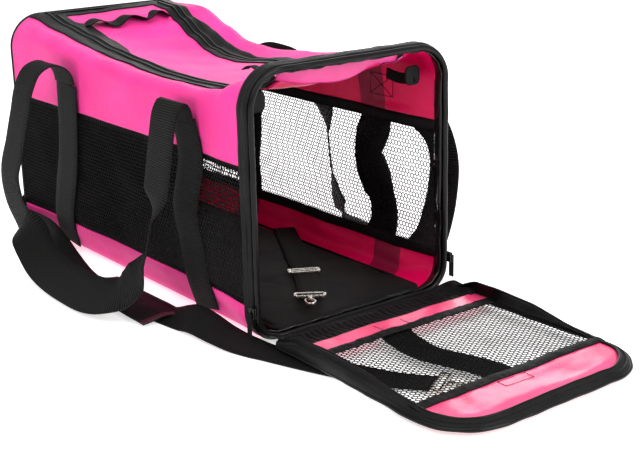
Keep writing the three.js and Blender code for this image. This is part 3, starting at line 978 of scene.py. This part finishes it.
# loose folds: from, to, width
zips = {"width": 16, "nearFold": (-235, -70, 14), "farFold": (-195, -40, 6)}


def shoulderHeight(x, away, sign):  # height of the shoulder's cloth, or of the zip, away from the middle
    if away <= bag["zipLine"] + bag["tape"]:
        return zipHeight(x, sign)
    low, high = 0.3, 1.0
    for _ in range(14):
        middle = (low + high) / 2
        if abs(shoulderPoint(x, middle, sign)[1]) > away:
            low = middle
        else:
            high = middle
    return shoulderPoint(x, high, sign)[2]


def addTopZips():
    tapeWidth = bag["tape"]
    for name, sign in (("near", -1), ("far", 1)):
        def tape(u, v, inner):
            x = xAt(u) if not inner else -260 + u * (248.2 + 260)
            wide = zips["width"] + 2 * ripple(x, 0, 0, 34, sign + inner)
            extra = zips["nearFold"] if sign < 0 else zips["farFold"]
            if sign < 0 and not inner:
                wide += 11
            if inner == (sign < 0):
                wide += extra[2] * ease((x - extra[0]) / 25) * ease((extra[1] - x) / 60)
            away = bag["zipLine"] + (-1 if inner else 1) * (0.3 + v * wide)
            rise = 0.7 + 1.8 * v * (1 - v) + 0.8 * ripple(x, away, 0, 24, 7 if inner else 3) * v
            if inner:
                z = topPoint(x, sign * away)[2] + rise + 0.4
            else:
                z = shoulderHeight(x, away, sign) + rise + 0.4
            return (x, sign * away, z)

        outer = laidGrid((120, 8), (540, tapeWidth), lambda u, v: tape(u, v, False), flip=sign < 0)
        thicken(makePiece(outer, name + "_top_zip_tape", [binding], "bag",
                          [name + "_zip_tape"]), 1.1, 0)
        flapSide = laidGrid((110, 8), (508, tapeWidth), lambda u, v: tape(u, v, True), flip=sign > 0)
        thicken(makePiece(flapSide, name + "_flap_zip_tape", [binding], "top_flap",
                          [f"flap_{name}_tape"]), 1.1, 0)
        for part, body, x0, x1, side in (("top", "bag", -278, 260, 4.6),
                                         ("flap", "top_flap", -262, 246, -4.6)):
            bead = []
            for k in range(91):
                x = x0 + (x1 - x0) * k / 90
                bead.append((x, sign * (bag["zipLine"] + side), zipHeight(x, sign) + 1.9))
            pathTube(f"{name}_{part}_zip_bead", bead, 1.9, pipingBlack, body)
        rowOf(name + "_top_zip_coil", zipPlaces(sign, bag["zipLine"] + 1.6, -270, 258, 2.0, 1.6),
              coilUnit, teethBlack,
              "bag")
        rowOf(name + "_flap_zip_coil", zipPlaces(sign, bag["zipLine"] - 1.6, -258, 247, 2.0, 1.6),
              coilUnit, teethBlack,
              "top_flap")
    rear = laidGrid((3, 50), (14, 170), lambda u,
                    v: (-283 + u * 11, -85 + 170 * v, 304.2 + 0.5 * ripple(0, 170 * v, 0, 20)))
    thicken(makePiece(rear, "rear_top_zip_tape", [binding], "bag", ["rear_zip_tape"]), 1.0,
            0)
    flapRear = laidGrid((4, 50), (14, 168), lambda u, v: (-272.5 + u * 14, -84.4 + 168.8 * v,
                                                           topPoint(-272.5 + u * 14,
                                                                    -84.4 + 168.8 * v)[2] + 0.9))
    thicken(makePiece(flapRear, "flap_rear_zip_tape", [binding], "top_flap",
                      ["flap_rear_tape"]), 1.0, 0)


def coilUnit(bm):
    box(bm, (1.3, 2.6, 1.4), (0, 0, 0), 0.4, 1)


addTopZips()
print("straps, handles and top zips")


# base: cloth, board and padded floor

pad = {"x": (-277, 274), "half": 107, "low": 4.0, "high": 12.0, "corner": 14, "voxel": 4.5, "frames": 18,
       "cap": 5.0}


def addPad():
    (x0, x1), half = pad["x"], pad["half"]
    bm = bmesh.new()
    box(bm, (x1 - x0, 2 * half, 5.5), ((x0 + x1) / 2, 0, 7.6))
    upright = [e for e in bm.edges if abs((e.verts[0].co - e.verts[1].co).normalized().z) > 0.9]
    bmesh.ops.bevel(bm, geom=upright, offset=pad["corner"] * mm, offset_type="OFFSET", segments=6,
                    profile=0.5,
                    affect="EDGES", material=-1)
    piece = makePiece(bm, "floor_pad", [padCloth], "bag", ["base_pad"])
    remesh = piece.modifiers.new("Remesh", "REMESH")
    remesh.mode = "VOXEL"
    remesh.voxel_size = pad["voxel"] * mm
    applyModifiers(piece)
    start = [v.co.copy() for v in piece.data.vertices]
    cloth = piece.modifiers.new("Cloth", "CLOTH")
    cloth.settings.use_pressure = True
    cloth.settings.uniform_pressure_force = 3.0
    cloth.settings.effector_weights.gravity = 0
    cloth.settings.shrink_min = -0.04
    for step in range(1, pad["frames"] + 1):
        scene.frame_set(step)
    applyModifiers(piece)
    for vert, before in zip(piece.data.vertices, start):
        move = vert.co - before
        if move.length > pad["cap"] * mm:
            vert.co = before + move * (pad["cap"] * mm / move.length)
        vert.co.z = min(pad["high"] * mm - 0.0005, max(pad["low"] * mm, vert.co.z))
    scene.frame_set(1)
    for vert in piece.data.vertices:
        x, y, z = vert.co / mm
        if z > 7:
            vert.co.z += (0.7 * ripple(x, y, 0, 60, 2) + 0.35 * ripple(x, y, 0, 20, 6)) * mm
    smooth = piece.modifiers.new("Smooth", "SUBSURF")
    smooth.levels = smooth.render_levels = 1
    edge = []
    for cx, cy, start in ((x1, -half, -90), (x1, half, 0), (x0, half, 90), (x0, -half, 180)):
        sx, sy = math.copysign(1, cx), math.copysign(1, cy)
        for k in range(8):
            a = math.radians(start + 90 * k / 7)
            edge.append((cx - sx * pad["corner"] + (pad["corner"] + 0.6) * math.cos(a) - 0.4,
                         cy - sy * pad["corner"] + (pad["corner"] + 0.4) * math.sin(a), 8.2))
    pathTube("floor_pad_piping", edge, 1.8, padCloth, "bag", closed=True)
    relook(["base_board", "base_panel"], padCloth)


def applyModifiers(piece):
    graph = bpy.context.evaluated_depsgraph_get()
    mesh = bpy.data.meshes.new_from_object(piece.evaluated_get(graph), depsgraph=graph)
    piece.modifiers.clear()
    piece.data = mesh
    mesh.polygons.foreach_set("use_smooth", [True] * len(mesh.polygons))


addPad()
print("floor pad")


# door, lying open

door = {
    "start": 310, "end": 597, "half": 137, "corner": 60, "foot": 4.0, "depth": 23, "panelZ": 11.6,
    "inner": 133.4,
    "innerBand": (338, 366), "innerBinding": (363, 377), "outerBinding": (522, 536),
}


def doorLine(count):  # three sides of the door's wall as evenly spaced (x, y) places
    x0, half, corner, end = door["start"], door["half"], door["corner"], door["end"]
    points = [(x0, -half)]
    for cx, cy, a0 in ((end - corner, corner - half, -90), (end - corner, half - corner, 0)):
        points += [(cx + corner * math.cos(math.radians(a0 + 6 * k)),
                    cy + corner * math.sin(math.radians(a0 + 6 * k)))
                   for k in range(16)]
    points.append((x0, half))
    lengths = [0]
    for (ax, ay), (bx, by) in zip(points, points[1:]):
        lengths.append(lengths[-1] + math.hypot(bx - ax, by - ay))
    found, k = [], 0
    for step in range(count + 1):
        want = lengths[-1] * step / count
        while k < len(lengths) - 2 and lengths[k + 1] < want:
            k += 1
        span = max(1e-6, lengths[k + 1] - lengths[k])
        share = (want - lengths[k]) / span
        (ax, ay), (bx, by) = points[k], points[k + 1]
        found.append((ax + (bx - ax) * share, ay + (by - ay) * share, (bx - ax) / span, (by - ay) / span))
    return found, lengths[-1]


def doorHeight(x, y):  # slack of the door's cloth
    inside = ease((door["inner"] - abs(y)) / 50)
    folds = 1.5 * ripple(x, y, 0, 55, 21) + 0.8 * ripple(x + 0.6 * y, y, 0, 24, 22)
    return door["panelZ"] + (folds + 0.5) * inside


def wallTop(x, y):  # the wall droops at the corners and stands towards the hinge
    slump = 14.0 * ease((x - 400) / 150) + 12.0 * ease((348 - x) / 38)
    return door["foot"] + door["depth"] - slump + 1.8 * ripple(x, y, 0, 70, 31)


def addDoor():
    count = 220
    line, length = doorLine(count)

    def wall(u, v):
        x, y, ax, ay = line[round(u * count)]
        top = wallTop(x, y)
        bulge = 2.0 * math.sin(math.pi * v) + 1.6 * ripple(x, y, v * 20, 26, 33)
        loose = ease((x - 400) / 150)
        lean = -3.0 - 4.0 * v * v + bulge + loose * (6 - 8 * v)
        return (x + ay * lean, y - ax * lean, door["foot"] + 1 + (top - door["foot"] - 1) * v)

    bm = laidGrid((count, 12), (length, 24), wall)
    thicken(makePiece(bm, "door_wall", [binding], "door", ["door_gusset"]), 1.6, 0)
    for name, v, radius, lift in (("door_foot_piping", 0.0, 2.2, 1.4), ("door_fold", 0.46, 0.8, 0.3),
                                  ("door_lip", 1.0, 1.6, 0.0)):
        points = [Vector(wall(k / count, v)) for k in range(count + 1)]
        pathTube(name, [(p.x, p.y, p.z + lift) for p in points], radius, pipingBlack, "door")
    teethAt = []
    steps = 390
    dense = [Vector(wall(k / count, 0.72)) for k in range(count + 1)]
    even, _ = evenRoute(dense, steps)
    for a, b in zip(even, even[1:]):
        ahead = (b - a).normalized()
        teethAt.append(((a + b) / 2 + Vector((ahead.y, -ahead.x, 0)) * 0.9, ahead,
                        Vector((ahead.y, -ahead.x, 0.35)).normalized()))
    rowOf("door_zip_teeth", [(at, ahead, (up - ahead * up.dot(ahead)).normalized()) for at, ahead,
                             up in teethAt],
          toothUnit, teethBlack, "door")

    start, end = door["innerBand"]

    def inner(u, v):
        x, y = start + (end - start) * u, (2 * v - 1) * door["inner"]
        return (x, y, doorHeight(x, y))

    bm = laidGrid((20, 90), (end - start, 2 * door["inner"]), inner)
    thicken(makePiece(bm, "door_inner_pink", [doorPink], "door", ["door_inner_band"]), 1.3,
            0)
    for name, (x0, x1), old in (("door_inner_edging", door["innerBinding"], "door_inner_binding"),
                                ("door_outer_edging", door["outerBinding"], "door_outer_binding")):
        def edging(u, v):
            x = x0 + (x1 - x0) * u
            y = (2 * v - 1) * door["inner"]
            crown = 1.4 * math.sin(math.pi * u) + 0.9 * ripple(x, y, 0, 10, 41) + 0.5 * ripple(x, y, 0, 4,
                                                                                               42)
            return (x, y, doorHeight(x, y) + 1.2 + crown)

        bm = laidGrid((10, 160), (x1 - x0, 2 * door["inner"]), edging)
        thicken(makePiece(bm, name, [binding], "door", [old]), 1.2, 0)
    netPiece("door_window_net", (522 - 375, 2 * door["inner"] - 1),
             lambda a, b: (375 + a, b - door["inner"] + 0.5,
                           doorHeight(375 + a, b - door["inner"]) + 0.2), "door", ["door_net"],
             yarnWidth=0.4)

    def outer(u, v):
        x0 = 534
        side = (2 * v - 1)
        y = side * (door["inner"] - 4)
        reach = door["end"] - 7 - x0
        over = max(0, abs(y) - (door["half"] - door["corner"]))
        radius = door["corner"] - 3
        cut = radius - math.sqrt(max(0, radius * radius - min(radius, over) ** 2))
        x = x0 + (reach - cut) * u
        folds = 2.0 * ripple(x, y, 0, 60, 51) + 1.0 * ripple(x, y, 0, 26, 52)
        slack = ease(u * 3) * ease((1 - u) * 2.5) * ease((door["inner"] - abs(y)) / 40)
        return (x, y, doorHeight(x, y) + folds * slack - 3.5 * ease((u - 0.7) / 0.3))

    bm = laidGrid((36, 110), (60, 2 * door["inner"]), outer)
    thicken(makePiece(bm, "door_outer_pink", [doorPink], "door", ["door_outer_band"]), 1.3,
            0)

    grab = [(350, -8), (385, -22), (430, -27), (465, -18), (495, -8), (526, -5)]
    strip("door_grab_webbing", [(x, y, doorHeight(x, y) - 2.4) for x, y in grab], [(0, 1, 0), (0, 1, 0)],
          38, 1.5, 60,
          webbing, "door", ["door_grab_strap"])
    lines = [[(345, -27), (345.5, -27), (366, -27)], [(345, 11), (366, 11)],
             [(537, -30), (551, -30)], [(551, -30), (551, 9)], [(551, 9), (537, 9)],
             [(538.5, -30), (538.5, 9)]]
    places = []
    for seam in lines:
        points = [Vector((x, y, doorHeight(x, y) + 0.8)) for x, y in seam]
        places += alongRoute(points, 3.4, (0, 0, 1))
    rowOf("door_stitching", places, threadUnit, threadBlack, "door", smoothed=True)
    print("door")


addDoor()


# gathered fabric hinge between the bag and the door

hinge = {"half": 122, "bagEdge": 284.5, "doorEdge": 342, "gathers": 34}


def addHinge():
    x0, x1 = hinge["bagEdge"], hinge["doorEdge"]

    def place(u, v):
        x = x0 + (x1 - x0) * u
        side = abs(2 * v - 1)
        y = (2 * v - 1) * (hinge["half"] + 12 * ease((u + 0.1) / 0.35))
        middle = math.sin(math.pi * u)
        z = 5.5 + 5.0 * ease((u - 0.1) / 0.8) + 2.6 * math.exp(-((u - 0.36) / 0.14) ** 2)
        gather = math.sin(v * hinge["gathers"] * 2 * math.pi + 2.5 * ripple(x, y, 0, 40, 3)) * 0.9
        z += middle * (gather + 1.6 * ripple(x, y, 0, 18, 61))
        z += 9 * ease((side - 0.88) / 0.12) * ease((u + 0.12) / 0.35) * ease((1.25 - u) / 0.5)
        return (x + 0.8 * ripple(y, x, 0, 16, 62) * middle, y, z)

    bm = laidGrid((26, 300), (x1 - x0, 2 * hinge["half"]), place)
    top = bm.faces[:]
    bmesh.ops.solidify(bm, geom=top, thickness=1.2 * mm)
    bmesh.ops.recalc_face_normals(bm, faces=bm.faces)
    piece = makePiece(bm, "hinge_gathers", [binding], None,
                      ["hinge_pleats", "door_hinge_flap",
                                                                           "door_hinge_roll"])
    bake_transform(piece)


addHinge()


# hardware and small trim

def roundHardware(name, old, material, body, bevel, segments=3):
    # a copy of a flat metal part with its edges rounded over
    bm = bmesh.new()
    bm.from_mesh(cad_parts[old].data)
    bmesh.ops.remove_doubles(bm, verts=bm.verts, dist=0.00001)
    bmesh.ops.dissolve_limit(bm, angle_limit=math.radians(2), verts=bm.verts, edges=bm.edges)
    sharp = [e for e in bm.edges if e.is_manifold and e.calc_face_angle(0) > math.radians(50)]
    bmesh.ops.bevel(bm, geom=sharp, offset=bevel * mm, offset_type="OFFSET", segments=segments,
                    profile=0.5,
                    affect="EDGES", clamp_overlap=True, material=-1)
    return makePiece(bm, name, [material], body, [old])


def addHardware():
    for old in ("tether_eye", "tether_hook", "strap_eye", "strap_hook", "tether_slide", "rear_ring"):
        body = "bag" if old.endswith("eye") else old + "_body"
        roundHardware(old + "_metal", old, nickel, body, 0.9 if "hook" in old else 0.7)
    relook(["tether_gate", "strap_gate"], nickel)
    for side, sign in (("near", -1), ("far", 1)):
        low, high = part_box(side + "_top_slider")
        centre = (low + high) / 2 / mm
        addSlider(side + "_top_slider", centre, 0)
        pullStrap(f"{side}_top_pull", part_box(f"{side}_top_pull"), flat=True)
        low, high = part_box(side + "_door_slider")
        addSlider(side + "_door_slider", (low + high) / 2 / mm, sign)
        pullStrap(f"{side}_door_pull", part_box(f"{side}_door_pull"), flat=False)


def addSlider(name, centre, sign):
    # a pressed metal slider: two wings over the coil with a bridge for the pull
    bm = bmesh.new()
    box(bm, (12, 9.4, 1.6), (0, 0, -1.6), 0.6)
    box(bm, (12, 9.4, 1.2), (0, 0, 1.0), 0.5)
    box(bm, (9, 3.2, 1.1), (0, 0, 3.0), 0.4)
    for x in (-4, 4):
        box(bm, (1.4, 3.2, 3.2), (x, 0, 2.0), 0.3)
    if sign:
        bmesh.ops.transform(bm, matrix=sliderTurn(sign), verts=bm.verts)
    bmesh.ops.translate(bm, vec=Vector(centre) * mm, verts=bm.verts)
    makePiece(bm, name + "_metal", [enamel], name + "_body", [name])


def sliderTurn(sign):  # stands the slider upright on a side wall, its back outwards
    ahead, up = Vector((0, 0, 1)), Vector((0, sign, 0))
    return Matrix((ahead, up.cross(ahead), up)).transposed().to_4x4()


def pullStrap(name, corners, flat):
    low, high = corners[0] / mm, corners[1] / mm
    centre = (low + high) / 2
    if flat:
        route = [(high.x - 1, centre.y, centre.z), (high.x - 8, centre.y, centre.z + 5),
                 (low.x + 12, centre.y, centre.z + 6), (low.x + 1, centre.y, centre.z + 1)]
        across = [(0, 1, 0), (0, 1, 0)]
    else:
        route = [(centre.x, centre.y, high.z - 1), (centre.x, centre.y, high.z - 10),
                 (centre.x, centre.y, low.z + 9),
                 (centre.x, centre.y, low.z + 1)]
        across = [(1, 0, 0), (1, 0, 0)]
    strip(name + "_webbing", route, across, 9 if flat else 7.5, 1.2, 40, fineWebbing, name + "_body",
          [name])


def addTabStrap():  # the short strap that ends the far zip, inside the corner of the opening
    strip("far_zip_tab_strap", [(256, 112, 262), (244, 114, 258), (222, 117, 256), (198, 120, 258)],
          [(0, 0, 1), (0, 0, 1)], 13, 1.4, 24, fineWebbing, "bag")


def addStrapStitching():  # the box stitch of the far front strap, seen inside on the upper band
    seams = [(146, 224), (188, 224), (188, 250), (146, 250), (146, 224), (188, 250)], [(188, 224),
                                                                                       (146, 250)]
    places = []
    for line in seams:
        points = []
        for (xa, za), (xb, zb) in zip(line, line[1:]):
            points += [Vector(sidePoint(xa + (xb - xa) * k / 8, za + (zb - za) * k / 8, 1, -3.4))
                       for k in range(8)]
        points.append(Vector(sidePoint(line[-1][0], line[-1][1], 1, -3.4)))
        places += alongRoute(points, 3.2, (0, -1, 0))
    rowOf("far_strap_stitching", places, threadUnit, threadBlack, "bag", smoothed=True)


def addTrim():
    grip = [(-212 + (-3 if k % 2 else 3), y) for k, y in enumerate((-66, -46, -22, 4, 28, 50, 66))]
    route = [Vector(topPoint(x, y)) + Vector((0, 0, 1.8 if k in (0, 6) else 2.5 + (5 if k % 2 else 0)))
             for k, (x, y) in enumerate(grip)]
    strip("flap_grip_webbing", route, [(1, 0, 0.1), (1, 0, -0.2), (1, 0, 0.25), (1, 0, -0.1)], 22, 1.3,
          60, fineWebbing, "top_flap", ["flap_grip_ribbon"])
    for side in ("near", "far"):
        roundHardware(side + "_zip_tab_cloth", side + "_zip_tab", padCloth, "bag", 1.7)
    roundHardware("rear_ring_tab_webbing", "rear_ring_tab", fineWebbing, "bag", 0.8)


addHardware()
addTrim()
addTabStrap()
addStrapStitching()
print("hardware and trim")


# floor and light

def addStage():
    bm = bmesh.new()
    bmesh.ops.create_grid(bm, x_segments=2, y_segments=2, size=30)
    mesh = bpy.data.meshes.new("floor")
    bm.to_mesh(mesh)
    bm.free()
    floor = bpy.data.objects.new("floor", mesh)
    floor.location.z = -0.0005
    scene.collection.objects.link(floor)
    material, _, shader = newMaterial("floor", (0.9, 0.9, 0.9), 0.9)
    shader.inputs["Emission Color"].default_value = (1, 1, 1, 1)
    shader.inputs["Emission Strength"].default_value = 0.6
    mesh.materials.append(material)
    world = bpy.data.worlds.new("studio")
    world.use_nodes = True
    world.node_tree.nodes["Background"].inputs["Color"].default_value = (1, 1, 1, 1)
    world.node_tree.nodes["Background"].inputs["Strength"].default_value = 0.6
    scene.world = world
    scene.view_settings.view_transform = "Standard"
    for name, at, size, power in (("key", (0.9, -1.6, 2.1), 1.6, 30), ("top", (0.0, 0.2, 2.2), 2.2, 20),
                                     ("front", (2.2, 0.6, 1.4), 1.4, 40),
                                     ("back", (-1.45, 1.5, 0.95), 1.3, 11)):
        lamp = bpy.data.lights.new(name, "AREA")
        lamp.size = size
        lamp.energy = power
        holder = bpy.data.objects.new(name, lamp)
        holder.location = at
        holder.rotation_euler = (Vector((0.1, 0, 0.1)) - Vector(at)).to_track_quat("-Z", "Y").to_euler()
        scene.collection.objects.link(holder)


addStage()
